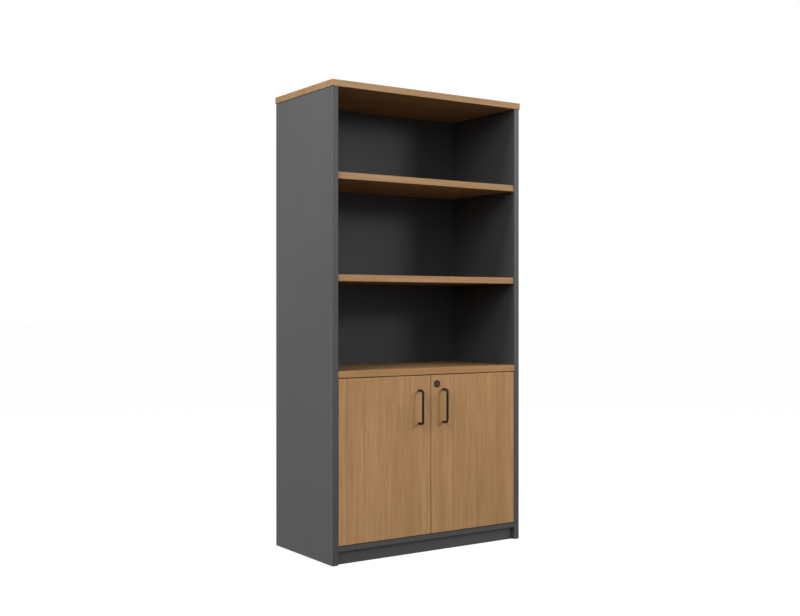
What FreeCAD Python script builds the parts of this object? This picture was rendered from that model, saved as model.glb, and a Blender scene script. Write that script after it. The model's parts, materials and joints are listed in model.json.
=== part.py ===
"""Half-door office bookcase: open shelves above a two-door cabinet with a cam lock.

Millimetres, +Z up, front towards -Y. The origin lies on the floor at the middle of the overall envelope,
which runs from the front of the handles to the back edge of the top panel.
"""
import math
import os

import FreeCAD
import Part
import Sketcher

DIMENSIONS = {
    # Envelope and boards
    "overall_width": 900,
    "overall_height": 1800,
    "carcass_depth": 445,
    "top_side_overhang": 3,
    "top_front_overhang": 3,
    "top_back_overhang": 2,
    "side_board": 25,
    "top_board": 25,
    "shelf_board": 25,
    "thin_board": 18,
    "edge_bevel": 1,
    # Levels above the floor
    "kick_height": 50,
    "kick_recess": 15,
    "cabinet_shelf_level": 368,
    "fixed_shelf_level": 694,
    "middle_shelf_level": 1054,
    "upper_shelf_level": 1435,
    # Adjustable shelves and the holes that carry them
    "shelf_end_play": 0.5,
    "shelf_depth": 420,
    "shelf_recess": 4,
    "cabinet_shelf_depth": 380,
    "cabinet_shelf_recess": 44,
    "pin_row_front": 69,
    "pin_row_back": 389,
    "pin_pitch": 32,
    "pin_rise": 4,
    "pin_diameter": 4.9,
    "pin_bore": 5,
    "pin_bore_depth": 11,
    "pin_sheet": 1.6,
    "pin_width": 11,
    "pin_reach": 12,
    "pin_notch_high": 9,
    "pin_notch_play": 1,
    # Doors
    "door_side_gap": 2,
    "door_meeting_gap": 3,
    "door_end_gap": 3,
    # Bow handles
    "handle_bar": 10,
    "handle_reach": 34,
    "handle_pitch": 128,
    "handle_bend": 10,
    "handle_offset": 58.4,
    "handle_level": 570,
    "handle_bore": 4,
    "handle_bore_depth": 10,
    # Concealed hinges, measured from the side panel (across), the door front (deep) and the hinge middle
    "hinge_inset": 100,
    "cup_bore": 35,
    "cup_depth": 11.5,
    "cup_wall": 1.15,
    "cup_across": 24,
    "cup_flange": 1.2,
    "cup_rim": 1.5,
    "cup_ear_radius": 5,
    "cup_ear_across": 33.5,
    "cup_ear_pitch": 45,
    "short_arm_across": 35.6,
    "short_arm_deep": 13.2,
    "short_cup_across": 17.7,
    "short_cup_deep": 14.8,
    "long_arm_across": 33.5,
    "long_arm_deep": 32,
    "long_bend_across": 23.4,
    "long_bend_deep": 10.1,
    "long_cup_across": 12.3,
    "long_cup_deep": 13.5,
    "link_half_width": 1.7,
    "link_eye": 2.4,
    "link_gap": 0.3,
    "link_half_span": 5.4,
    "arm_inner": 5.7,
    "arm_outer": 6.8,
    "hinge_pin": 3,
    "hinge_pin_play": 0.1,
    "rivet_head": 0.25,
    "plate_base": 2.5,
    "plate_wing_radius": 6,
    "plate_foot_radius": 9,
    "plate_screw_row": 37,
    "plate_screw_pitch": 32,
    "arm_top": 16,
    "arm_sheet": 1.2,
    "arm_end": 86,
    # Cam lock in the right door
    "lock_across": 28.1,
    "lock_level": 656.9,
    "lock_collar": 28,
    "lock_collar_high": 2,
    "lock_barrel": 19,
    "lock_barrel_end": 3.2,
    "lock_nut": 28,
    "lock_nut_high": 3,
    "lock_plug": 12,
    "lock_plug_proud": 1.5,
    "lock_play": 0.2,
    "lock_tail": 7,
    "lock_tail_screw_depth": 8,
    "keyway_width": 2.2,
    "keyway_high": 8,
    "keyway_depth": 6,
    "lock_cam_reach": 33,
    "lock_cam_width": 15,
    "lock_cam_sheet": 2.5,
    # Keeper angle for the cam, under the fixed shelf
    "keeper_gap": 1,
    "keeper_sheet": 1.5,
    "keeper_drop": 13,
    "keeper_depth": 18,
    "keeper_length": 32,
    "keeper_screw_row": 12,
    "keeper_screw_pitch": 18,
    # Surface bolt behind the left door
    "bolt_across": 28,
    "bolt_rod": 8,
    "bolt_length": 70,
    "bolt_rest_gap": 4,
    "bolt_standoff": 7,
    "bolt_travel": 14,
    "bolt_case": 14,
    "bolt_plate_width": 26,
    "bolt_plate_top": 9,
    "bolt_plate_foot": 69,
    "bolt_plate_sheet": 1.5,
    "bolt_screw_hole": 3.1,
    "bolt_knob": 6,
    "bolt_knob_drop": 47.5,
}

# Screws: head across, head height, shank across, length
SCREWS = {
    "handle": (8, 2.6, 3.9, 26),
    "cup": (6.6, 1.8, 3.5, 12),
    "plate": (8.4, 2.2, 4.9, 12),
    "arm": (7.5, 2, 4, 10),
    "cam": (9, 2.4, 3, 7),
    "keeper": (6, 1.6, 3, 14),
}
for screw_name, screw_sizes in SCREWS.items():
    for measure, screw_size in zip(("head", "head_high", "shank", "length"), screw_sizes):
        DIMENSIONS[f"{screw_name}_screw_{measure}"] = screw_size

# Derived levels and planes, as expressions on the sheet
FRONT = "(dims.handle_reach - dims.carcass_depth - dims.top_back_overhang) / 2"
SIDE_OUTER = "(dims.overall_width / 2 - dims.top_side_overhang)"
SIDE_INNER = "(dims.overall_width / 2 - dims.top_side_overhang - dims.side_board)"
SIDE_HEIGHT = "(dims.overall_height - dims.top_board)"
INNER_DEPTH = "(dims.carcass_depth - dims.thin_board)"
BASE_TOP = "(dims.kick_height + dims.thin_board)"
DOOR_BOTTOM = f"({BASE_TOP} + dims.door_end_gap)"
DOOR_HEIGHT = f"(dims.fixed_shelf_level - {BASE_TOP} - 2 * dims.door_end_gap)"
DOOR_WIDTH = f"({SIDE_INNER} - dims.door_side_gap - dims.door_meeting_gap / 2)"
DOOR_EDGE = f"({SIDE_INNER} - dims.door_side_gap)"
HINGE_LEVELS = [
    f"({DOOR_BOTTOM} + dims.hinge_inset)",
    f"({DOOR_BOTTOM} + {DOOR_HEIGHT} - dims.hinge_inset)",
]
ARM_SCREW_DEEP = "(dims.arm_end - 16)"
CAM_SEAT = "(dims.thin_board + 3.5)"
HOLE_PLAY = 0.1
# Bolt bracket, below the fixed shelf: its two knuckles from and to, and its screw holes (across, level)
BOLT_KNUCKLES = [(-67, -55), (-34, -11)]
BOLT_SCREW_HOLES = [(-10, -50), (-10, -40), (10, -50), (10, -40)]

doc = FreeCAD.newDocument("bookcase")
sheet = doc.addObject("Spreadsheet::Sheet", "dims")
parts = {}


def fill_sheet():
    """Write every driving dimension to the sheet under its alias."""
    for row, (alias, size) in enumerate(DIMENSIONS.items(), start=1):
        sheet.set(f"A{row}", alias)
        sheet.set(f"B{row}", str(size))
        sheet.setAlias(f"B{row}", alias)
    doc.recompute()


def number(expression):
    """The present value of an expression on the sheet."""
    result = sheet.evalExpression(str(expression))
    return float(getattr(result, "Value", result))


def place(obj, across, depth, level, turn=None):
    """Put an object at a position given by three expressions, with an optional (axis, degrees) turn."""
    if turn:
        rotation = FreeCAD.Rotation(FreeCAD.Vector(*turn[0]), turn[1])
        obj.Placement = FreeCAD.Placement(FreeCAD.Vector(), rotation)
    for axis, expression in zip("xyz", (across, depth, level)):
        obj.setExpression(f"Placement.Base.{axis}", str(expression))
    return obj


def keep(obj, node):
    """Label an object as a finished sub-part."""
    obj.Label = node
    parts[node] = obj
    return obj


# ---------------------------------------------------------------- sketches and features

def new_body(name):
    return doc.addObject("PartDesign::Body", name)


def origin_feature(body, role):
    """One of a body's own origin planes or axes."""
    return next(item for item in body.Origin.OriginFeatures if item.Role == role)


def new_sketch(body, role, lift="0"):
    """A sketch on one of the body's origin planes, lifted along the plane's normal."""
    sketch = body.newObject("Sketcher::SketchObject", body.Name + "_sketch")
    sketch.AttachmentSupport = [(origin_feature(body, role), "")]
    sketch.MapMode = "FlatFace"
    sketch.setExpression("AttachmentOffset.Base.z", str(lift))
    return sketch


def vector(across, along):
    return FreeCAD.Vector(number(across), number(along), 0)


def pin_point(sketch, geometry, point, across, along):
    """Tie a sketch point to the sketch origin by two driven distances."""
    for kind, expression in (("DistanceX", across), ("DistanceY", along)):
        constraint = Sketcher.Constraint(kind, -1, 1, geometry, point, number(expression))
        index = sketch.addConstraint(constraint)
        sketch.setExpression(f"Constraints[{index}]", str(expression))


def draw_polygon(sketch, corners):
    """A closed outline through corners given as pairs of expressions."""
    first = sketch.GeometryCount
    count = len(corners)
    for index, corner in enumerate(corners):
        following = corners[(index + 1) % count]
        sketch.addGeometry(Part.LineSegment(vector(*corner), vector(*following)), False)
    for index, corner in enumerate(corners):
        after = first + (index + 1) % count
        sketch.addConstraint(Sketcher.Constraint("Coincident", first + index, 2, after, 1))
        pin_point(sketch, first + index, 1, *corner)


def draw_rectangle(sketch, left, bottom, right, top):
    draw_polygon(sketch, [(left, bottom), (right, bottom), (right, top), (left, top)])


def draw_facets(sketch, across, along, diameter, sides=8, hole=False):
    """A small round with flat sides: its corners lie on the circle, or for a hole its flats touch it."""
    reach = 0.5 / math.cos(math.pi / sides) if hole else 0.5
    corners = []
    for index in range(sides):
        angle = 2 * math.pi * (index + 0.5) / sides
        corners.append((f"{across} + {reach * math.cos(angle):.6f} * ({diameter})",
                        f"{along} + {reach * math.sin(angle):.6f} * ({diameter})"))
    draw_polygon(sketch, corners)


def draw_slot(sketch, start, end, radius, steps=4):
    """A bar between two centres, each a pair of expressions, its round ends drawn in a few steps."""
    run = vector(*end) - vector(*start)
    heading = math.atan2(run.y, run.x)
    corners = []
    for centre, first in ((end, heading - math.pi / 2), (start, heading + math.pi / 2)):
        for step in range(steps + 1):
            angle = first + math.pi * step / steps
            corners.append((f"{centre[0]} + {math.cos(angle):.6f} * ({radius})",
                            f"{centre[1]} + {math.sin(angle):.6f} * ({radius})"))
    draw_polygon(sketch, corners)


def pad(body, sketch, length, both_ways=False, backwards=False):
    """Raise a sketch by a length, along its normal or evenly to both sides."""
    feature = body.newObject("PartDesign::Pad", body.Name + "_pad")
    feature.Profile = sketch
    feature.setExpression("Length", str(length))
    feature.Midplane = both_ways
    feature.Reversed = backwards
    doc.recompute()
    return feature


def pocket(body, sketch, depth, both_ways=False, backwards=False):
    """Cut a sketch into the solid, and make sure that something was removed."""
    before = body.Shape.Volume
    feature = body.newObject("PartDesign::Pocket", body.Name + "_pocket")
    feature.Profile = sketch
    feature.setExpression("Length", str(depth))
    feature.Midplane = both_ways
    feature.Reversed = backwards
    doc.recompute()
    if body.Shape.Volume > before - 0.01:
        raise RuntimeError(f"{feature.Name} removed nothing")
    return feature


def ease(body, along, front_only=True):
    """Bevel a board's edges that run along the named axes, or only those of its front face."""
    block = body.Tip
    names = []
    for index, edge in enumerate(block.Shape.Edges, start=1):
        heading = edge.tangentAt(edge.FirstParameter)
        runs_along = any(abs(getattr(heading, axis)) > 0.9 for axis in along)
        at_front = edge.CenterOfMass.y < block.Shape.BoundBox.YMin + 0.01
        if runs_along and (at_front or not front_only):
            names.append(f"Edge{index}")
    feature = body.newObject("PartDesign::Chamfer", body.Name + "_bevel")
    feature.Base = (block, names)
    feature.setExpression("Size", "dims.edge_bevel")
    doc.recompute()
    return body


def revolve(body, corners):
    """Turn a half profile, pairs of (radius, depth), once round the body's Y axis."""
    sketch = new_sketch(body, "XY_Plane")
    draw_polygon(sketch, corners)
    feature = body.newObject("PartDesign::Revolution", body.Name + "_turned")
    feature.Profile = sketch
    feature.ReferenceAxis = (origin_feature(body, "Y_Axis"), [""])
    feature.Angle = 360
    doc.recompute()


def bore(body, role, lift, centres, diameter, depth, backwards=False, sides=8):
    """Holes at a list of centres, cut down from the lifted plane."""
    sketch = new_sketch(body, role, lift)
    for centre in centres:
        draw_facets(sketch, centre[0], centre[1], diameter, sides, hole=True)
    return pocket(body, sketch, depth, backwards=backwards)


def repeat(node, source, spots, turn=None):
    """A group of equal separate solids: one link to the source at each spot."""
    links = []
    for index, spot in enumerate(spots):
        link = doc.addObject("App::Link", f"{node}_{index + 1}")
        link.LinkedObject = source
        links.append(place(link, *spot, turn=turn))
    group = doc.addObject("Part::Compound", node + "_group")
    group.Links = links
    return group


def mirror(name, source):
    """The same piece on the other side of the middle plane."""
    mirrored = doc.addObject("Part::Mirroring", name)
    mirrored.Source = source
    mirrored.Normal = FreeCAD.Vector(1, 0, 0)
    return mirrored


def keep_pair(source, piece):
    """Keep a left-hand piece and its mirror image as two sub-parts."""
    keep(source, "left_" + piece)
    keep(mirror("right_" + piece + "_mirror", source), "right_" + piece)


# ---------------------------------------------------------------- boards

def board(node, width, depth, height, across, front, level):
    """A plain rectangular board, its front left bottom corner at the given spot."""
    body = new_body(node + "_body")
    sketch = new_sketch(body, "XY_Plane")
    draw_rectangle(sketch, "0", "0", width, depth)
    pad(body, sketch, height)
    place(body, across, front, level)
    return body


def side_panels():
    """Full-height sides, bored on the inner face for shelf pins and hinge plates."""
    panel = board("side", "dims.side_board", "dims.carcass_depth", SIDE_HEIGHT, f"-{SIDE_OUTER}", FRONT, "0")
    ease(panel, "z")
    for shelf in ("cabinet", "middle", "upper"):
        lowest = f"dims.{shelf}_shelf_level + dims.pin_rise - dims.pin_pitch"
        pair = bore(panel, "YZ_Plane", "dims.side_board",
                    [("dims.pin_row_front", lowest), ("dims.pin_row_back", lowest)],
                    "dims.pin_bore", "dims.pin_bore_depth")
        column = panel.newObject("PartDesign::LinearPattern", shelf + "_pin_holes")
        column.Originals = [pair]
        column.Direction = (origin_feature(panel, "Z_Axis"), [""])
        column.setExpression("Length", "2 * dims.pin_pitch")
        column.Occurrences = 3
        panel.Tip = column
        doc.recompute()
    plate_holes = []
    for level in HINGE_LEVELS:
        for side in (-1, 1):
            plate_holes.append(("dims.plate_screw_row", f"{level} + {side} * dims.plate_screw_pitch / 2"))
    bore(panel, "YZ_Plane", "dims.side_board", plate_holes, "dims.pin_bore", "dims.pin_bore_depth")
    keep_pair(panel, "side_panel")


def fixed_boards():
    """Top, base, kickboards, back and the fixed shelf over the doors."""
    top = board("top", "dims.overall_width",
                "dims.carcass_depth + dims.top_front_overhang + dims.top_back_overhang", "dims.top_board",
                "-dims.overall_width / 2", f"{FRONT} - dims.top_front_overhang", SIDE_HEIGHT)
    keep(ease(top, "xyz", front_only=False), "top_panel")
    base = board("base", f"2 * {SIDE_INNER}", "dims.carcass_depth", "dims.thin_board",
                 f"-{SIDE_INNER}", FRONT, "dims.kick_height")
    keep(ease(base, "x"), "base_panel")
    keep(board("kick", f"2 * {SIDE_INNER}", "dims.thin_board", "dims.kick_height",
               f"-{SIDE_INNER}", f"{FRONT} + dims.kick_recess", "0"), "kickboard")
    keep(board("rear_rail", f"2 * {SIDE_INNER}", "dims.thin_board", "dims.kick_height",
               f"-{SIDE_INNER}", f"{FRONT} + {INNER_DEPTH}", "0"), "rear_rail")
    keep(board("back", f"2 * {SIDE_INNER}", "dims.thin_board", f"{SIDE_HEIGHT} - {BASE_TOP}",
               f"-{SIDE_INNER}", f"{FRONT} + {INNER_DEPTH}", BASE_TOP), "back_panel")
    shelf = board("fixed", f"2 * {SIDE_INNER}", INNER_DEPTH, "dims.shelf_board",
                  f"-{SIDE_INNER}", FRONT, "dims.fixed_shelf_level")
    ease(shelf, "x")
    bolt_spot = (f"{SIDE_INNER} - dims.bolt_across", "dims.thin_board + dims.bolt_standoff")
    bore(shelf, "XY_Plane", "0", [bolt_spot], "dims.bolt_rod + 1", "dims.bolt_travel", backwards=True)
    keeper_spots = [(f"{SIDE_INNER} + dims.lock_across + {side} * dims.keeper_screw_pitch / 2",
                     "dims.thin_board + dims.keeper_screw_row") for side in (-1, 1)]
    bore(shelf, "XY_Plane", "0", keeper_spots, f"dims.keeper_screw_shank + {HOLE_PLAY}",
         "dims.keeper_screw_length", backwards=True)
    keep(shelf, "fixed_shelf")


def loose_shelves():
    """Adjustable shelves, each on four pins that sit in notches under its ends."""
    width = f"2 * ({SIDE_INNER} - dims.shelf_end_play)"
    left = f"-({SIDE_INNER} - dims.shelf_end_play)"
    pin = shelf_pin()
    for shelf in ("cabinet", "middle", "upper"):
        prefix = "cabinet_" if shelf == "cabinet" else ""
        recess = f"dims.{prefix}shelf_recess"
        body = board(shelf, width, f"dims.{prefix}shelf_depth", "dims.shelf_board",
                     left, f"{FRONT} + {recess}", f"dims.{shelf}_shelf_level")
        ease(body, "x")
        pin_notches(body, width, recess)
        keep(body, shelf + "_shelf")
        rows = [f"{FRONT} + dims.pin_row_front", f"{FRONT} + dims.pin_row_back"]
        level = f"dims.{shelf}_shelf_level + dims.pin_rise"
        left_pins = repeat(shelf + "_left_pins", pin, [(f"-{SIDE_INNER}", row, level) for row in rows])
        both = doc.addObject("Part::Compound", shelf + "_pins_group")
        both.Links = [left_pins, mirror(shelf + "_right_pins", left_pins)]
        keep(both, shelf + "_shelf_pins")


def pin_notches(body, width, recess):
    """Four notches from below, open at the shelf's ends, that hide the pins and keep the shelf in place."""
    sketch = new_sketch(body, "XY_Plane")
    for row in ("dims.pin_row_front", "dims.pin_row_back"):
        low = f"{row} - {recess} - (dims.pin_width + dims.pin_notch_play) / 2"
        high = f"{row} - {recess} + (dims.pin_width + dims.pin_notch_play) / 2"
        for start, end in (("0", "dims.pin_reach"), (f"{width} - dims.pin_reach", width)):
            draw_rectangle(sketch, start, low, end, high)
    pocket(body, sketch, "dims.pin_notch_high", backwards=True)


def shelf_pin():
    """A pressed steel shelf support: a round peg in the side and an angle in the shelf's notch."""
    body = new_body("shelf_pin")
    peg = new_sketch(body, "YZ_Plane")
    draw_facets(peg, "0", "0", "dims.pin_diameter")
    pad(body, peg, "dims.pin_bore_depth - 1", backwards=True)
    angle = new_sketch(body, "XZ_Plane")
    top = "(dims.pin_notch_high - dims.pin_rise)"
    draw_polygon(angle, [
        ("0", "-dims.pin_rise"), ("dims.pin_sheet", "-dims.pin_rise"),
        ("dims.pin_sheet", f"{top} - dims.pin_sheet"), ("dims.pin_reach", f"{top} - dims.pin_sheet"),
        ("dims.pin_reach", top), ("0", top),
    ])
    pad(body, angle, "dims.pin_width", both_ways=True)
    return body


# ---------------------------------------------------------------- doors and handles

def screw(name):
    """A pan-head screw along Z, its head above the seat at Z = 0 with a bevelled rim."""
    body = new_body(name + "_screw")
    top = new_sketch(body, "XY_Plane")
    draw_facets(top, "0", "0", f"dims.{name}_screw_head")
    head = pad(body, top, f"dims.{name}_screw_head_high")
    rim = [f"Edge{index}" for index, edge in enumerate(head.Shape.Edges, start=1)
           if edge.BoundBox.ZMin > head.Shape.BoundBox.ZMax - 0.01]
    bevel = body.newObject("PartDesign::Chamfer", name + "_screw_rim")
    bevel.Base = (head, rim)
    bevel.setExpression("Size", f"dims.{name}_screw_head_high / 2")
    stem = new_sketch(body, "XY_Plane")
    draw_facets(stem, "0", "0", f"dims.{name}_screw_shank", sides=6)
    pad(body, stem, f"dims.{name}_screw_length", backwards=True)
    return body


def door(node, lock_hole):
    """A left-hand door with its front left bottom corner at the origin, bored from behind."""
    body = board(node, DOOR_WIDTH, "dims.thin_board", DOOR_HEIGHT, f"-{DOOR_EDGE}", FRONT, DOOR_BOTTOM)
    ease(body, "xyz", front_only=False)
    back = "-dims.thin_board"
    cup = "dims.cup_across - dims.door_side_gap"
    ear = "dims.cup_ear_across - dims.door_side_gap"
    heights = ["dims.hinge_inset", f"{DOOR_HEIGHT} - dims.hinge_inset"]
    bore(body, "XZ_Plane", back, [(cup, height) for height in heights],
         "dims.cup_bore", "dims.cup_depth", backwards=True, sides=24)
    ears = [(ear, f"{height} + {side} * dims.cup_ear_pitch / 2") for height in heights for side in (-1, 1)]
    bore(body, "XZ_Plane", back, ears, f"dims.cup_screw_shank + {HOLE_PLAY}", "dims.cup_screw_length + 1",
         backwards=True)
    handle_x = f"{DOOR_EDGE} - dims.handle_offset"
    handle_z = f"dims.handle_level - {DOOR_BOTTOM}"
    legs = [(handle_x, f"{handle_z} + {side} * dims.handle_pitch / 2") for side in (-1, 1)]
    bore(body, "XZ_Plane", back, legs, "dims.handle_bore + 0.5", "dims.thin_board", backwards=True)
    if lock_hole:
        lock = [(f"{DOOR_EDGE} - dims.lock_across", f"dims.lock_level - {DOOR_BOTTOM}")]
        bore(body, "XZ_Plane", back, lock, f"dims.lock_barrel + {HOLE_PLAY}", "dims.thin_board",
             backwards=True, sides=24)
    return body


def doors():
    """The left door, and the right door as the mirror image of one with a lock hole."""
    keep(door("left", False), "left_door")
    keep(mirror("right_door_mirror", door("right", True)), "right_door")


def handle():
    """A round bar bent to a bow, its two feet at Y = 0 and its grip in front."""
    body = new_body("handle")
    half = "dims.handle_pitch / 2"
    bend = "dims.handle_bend"
    grip = "(dims.handle_reach - dims.handle_bar / 2)"
    path = body.newObject("Sketcher::SketchObject", "handle_path")
    path.AttachmentSupport = [(origin_feature(body, "YZ_Plane"), "")]
    path.MapMode = "FlatFace"
    corners = [
        ("0", f"-{half}"), (f"{bend} - {grip}", f"-{half}"), (f"-{grip}", f"{bend} - {half}"),
        (f"-{grip}", f"{half} - {bend}"), (f"{bend} - {grip}", half), ("0", half),
    ]
    points = [vector(*corner) for corner in corners]
    up = FreeCAD.Vector(0, 0, 1)
    radius = number(bend)
    lower = Part.Circle(FreeCAD.Vector(points[1].x, points[2].y, 0), up, radius)
    upper = Part.Circle(FreeCAD.Vector(points[4].x, points[3].y, 0), up, radius)
    path.addGeometry(Part.LineSegment(points[0], points[1]), False)
    path.addGeometry(Part.ArcOfCircle(lower, math.pi, 1.5 * math.pi), False)
    path.addGeometry(Part.LineSegment(points[2], points[3]), False)
    path.addGeometry(Part.ArcOfCircle(upper, 0.5 * math.pi, math.pi), False)
    path.addGeometry(Part.LineSegment(points[4], points[5]), False)
    for first, first_end, second, second_end in ((0, 2, 1, 2), (1, 1, 2, 1), (2, 2, 3, 2), (3, 1, 4, 1)):
        path.addConstraint(Sketcher.Constraint("Tangent", first, first_end, second, second_end))
    pin_point(path, 0, 1, *corners[0])
    pin_point(path, 2, 1, *corners[2])
    pin_point(path, 4, 2, *corners[5])
    for arc in (1, 3):
        index = path.addConstraint(Sketcher.Constraint("Radius", arc, radius))
        path.setExpression(f"Constraints[{index}]", bend)
    section = new_sketch(body, "XZ_Plane")
    draw_facets(section, "0", f"-{half}", "dims.handle_bar", sides=10)
    sweep = body.newObject("PartDesign::AdditivePipe", "handle_sweep")
    sweep.Profile = section
    sweep.Spine = (path, [])
    doc.recompute()
    bore(body, "XZ_Plane", "0", [("0", f"-{half}"), ("0", half)],
         "dims.handle_bore", "dims.handle_bore_depth", backwards=True)
    return body


def handles():
    """Left and right bow handles with the two screws that hold each from behind."""
    left = place(handle(), "-dims.handle_offset", FRONT, "dims.handle_level")
    keep_pair(left, "handle")
    spots = [("-dims.handle_offset", f"{FRONT} + dims.thin_board",
              f"dims.handle_level + {side} * dims.handle_pitch / 2") for side in (-1, 1)]
    keep_pair(repeat("handle_screws", screw("handle"), spots, turn=((1, 0, 0), -90)), "handle_screws")


# ---------------------------------------------------------------- concealed hinges

def hinge_cup():
    """The pressed cup with its round rim and two screw ears."""
    body = new_body("hinge_cup")
    seat = "-dims.thin_board"
    cup = ("dims.cup_across", "0")
    shell = new_sketch(body, "XZ_Plane", seat)
    draw_facets(shell, *cup, f"dims.cup_bore - {HOLE_PLAY}", sides=24)
    pad(body, shell, "dims.cup_depth")
    rim = new_sketch(body, "XZ_Plane", seat)
    draw_facets(rim, *cup, "dims.cup_bore + 2 * dims.cup_rim", sides=24)
    pad(body, rim, "dims.cup_flange", backwards=True)
    ears = new_sketch(body, "XZ_Plane", seat)
    half = "dims.cup_ear_pitch / 2"
    draw_slot(ears, ("dims.cup_ear_across", f"-{half}"), ("dims.cup_ear_across", half), "dims.cup_ear_radius")
    pad(body, ears, "dims.cup_flange", backwards=True)
    bore(body, "XZ_Plane", f"{seat} - dims.cup_flange", [cup],
         f"dims.cup_bore - 2 * dims.cup_wall - {HOLE_PLAY}",
         "dims.cup_depth + dims.cup_flange - dims.cup_wall", backwards=True, sides=24)
    bore(body, "XZ_Plane", f"{seat} - dims.cup_flange",
         [("dims.cup_ear_across", f"-{half}"), ("dims.cup_ear_across", half)],
         f"dims.cup_screw_shank + {HOLE_PLAY}", "2 * dims.cup_flange", backwards=True)
    return body


def hinge_link(name, route, far_end, near_end, side):
    """A flat link along a route of centres, with an eye on the arm pin and a riveted pin at the cup end.

    The pin's head stands out on the side (1 up, -1 down) that faces away from the hinge's other link.
    """
    body = new_body(name)
    middle = f"({far_end} + {near_end}) / 2"
    height = f"{near_end} - {far_end}"
    for start, end in zip(route, route[1:]):
        bar = new_sketch(body, "XY_Plane", middle)
        draw_slot(bar, start, end, "dims.link_half_width", steps=2)
        pad(body, bar, height, both_ways=True)
    for centre in (route[0], route[-1]):
        eye = new_sketch(body, "XY_Plane", middle)
        draw_facets(eye, *centre, "2 * dims.link_eye", sides=12)
        pad(body, eye, height, both_ways=True)
    hole = new_sketch(body, "XY_Plane", middle)
    draw_facets(hole, *route[0], "dims.hinge_pin + dims.hinge_pin_play", hole=True)
    pocket(body, hole, f"2 * ({height})", both_ways=True)
    rivet = new_sketch(body, "XY_Plane", middle)
    draw_facets(rivet, *route[-1], "dims.hinge_pin")
    pad(body, rivet, f"({height}) / 2 + dims.rivet_head", backwards=side < 0)
    return body


def hinge_arm_pin(name, centre, far_end, near_end):
    """A rivet pin held in one cheek of the arm."""
    body = new_body(name)
    sketch = new_sketch(body, "XY_Plane", far_end)
    draw_facets(sketch, *centre, "dims.hinge_pin")
    pad(body, sketch, f"{near_end} - {far_end}")
    return body


def hinge_arm():
    """The cranked channel: two cheeks that reach into the cup, joined by a web behind the crank."""
    body = new_body("hinge_arm")
    top = "dims.arm_top"
    outline = new_sketch(body, "XY_Plane")
    draw_polygon(outline, [
        ("dims.short_arm_across - 2.8", "dims.short_arm_deep - 1.2"),
        ("dims.short_arm_across - 1.2", "dims.short_arm_deep - 2.7"),
        ("dims.short_arm_across + 1.2", "dims.short_arm_deep - 2.7"),
        ("dims.short_arm_across + 2.7", "dims.short_arm_deep - 1.2"),
        ("dims.short_arm_across + 2.7", "dims.short_arm_deep + 4"),
        ("dims.long_arm_across + 4.2", "dims.long_arm_deep + 1"),
        ("dims.long_arm_across + 1.5", "dims.long_arm_deep + 6"),
        (top, "dims.long_arm_deep + 20"),
        (top, "dims.arm_end"),
        (f"{top} - 9", "dims.arm_end"),
        (f"{top} - 9", "dims.long_arm_deep + 14"),
        ("dims.long_arm_across - 3.5", "dims.long_arm_deep - 2"),
    ])
    pad(body, outline, "2 * dims.arm_outer", both_ways=True)
    channel = new_sketch(body, "XY_Plane")
    draw_polygon(channel, [
        ("dims.short_arm_across - 6", "dims.short_arm_deep - 6"),
        ("dims.short_arm_across + 6", "dims.short_arm_deep - 6"),
        ("dims.long_arm_across + 6", "dims.long_arm_deep + 2"),
        ("dims.long_arm_across + 2", "dims.long_arm_deep + 4"),
        (f"{top} - dims.arm_sheet", "dims.long_arm_deep + 19.3"),
        (f"{top} - dims.arm_sheet", "dims.arm_end + 2"),
        (f"{top} - 14", "dims.arm_end + 2"),
        (f"{top} - 14", "dims.long_arm_deep + 12"),
    ])
    pocket(body, channel, "2 * dims.arm_inner", both_ways=True)
    for link in ("short", "long"):
        centre = (f"dims.{link}_arm_across", f"dims.{link}_arm_deep")
        hole = new_sketch(body, "XY_Plane")
        draw_facets(hole, *centre, "dims.hinge_pin", hole=True)
        pocket(body, hole, "2 * dims.arm_outer", both_ways=True)
    bore(body, "YZ_Plane", top, [(ARM_SCREW_DEEP, "0")], f"dims.arm_screw_shank + {HOLE_PLAY}",
         "2 * dims.arm_sheet")
    return body


def mounting_plate():
    """The plate screwed to the side panel, with a rail that fills the arm's channel."""
    body = new_body("mounting_plate")
    half = "dims.plate_screw_pitch / 2"
    wings = new_sketch(body, "YZ_Plane")
    draw_slot(wings, ("dims.plate_screw_row", f"-{half}"), ("dims.plate_screw_row", half),
              "dims.plate_wing_radius")
    pad(body, wings, "dims.plate_base")
    foot = new_sketch(body, "YZ_Plane")
    draw_slot(foot, ("dims.plate_screw_row + 3", "0"), ("dims.arm_end - 8", "0"), "dims.plate_foot_radius")
    pad(body, foot, "dims.plate_base")
    rail = new_sketch(body, "YZ_Plane")
    draw_rectangle(rail, "dims.long_arm_deep + 22", f"{HOLE_PLAY} - dims.arm_inner",
                   "dims.arm_end - 2", f"dims.arm_inner - {HOLE_PLAY}")
    pad(body, rail, "dims.arm_top - dims.arm_sheet")
    bore(body, "YZ_Plane", "dims.plate_base", [("dims.plate_screw_row", f"-{half}"),
         ("dims.plate_screw_row", half)], f"dims.plate_screw_shank + 2 * {HOLE_PLAY}", "2 * dims.plate_base")
    bore(body, "YZ_Plane", "dims.arm_top - dims.arm_sheet", [(ARM_SCREW_DEEP, "0")],
         f"dims.arm_screw_shank + {HOLE_PLAY}", "dims.arm_screw_length + 1")
    return body


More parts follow.
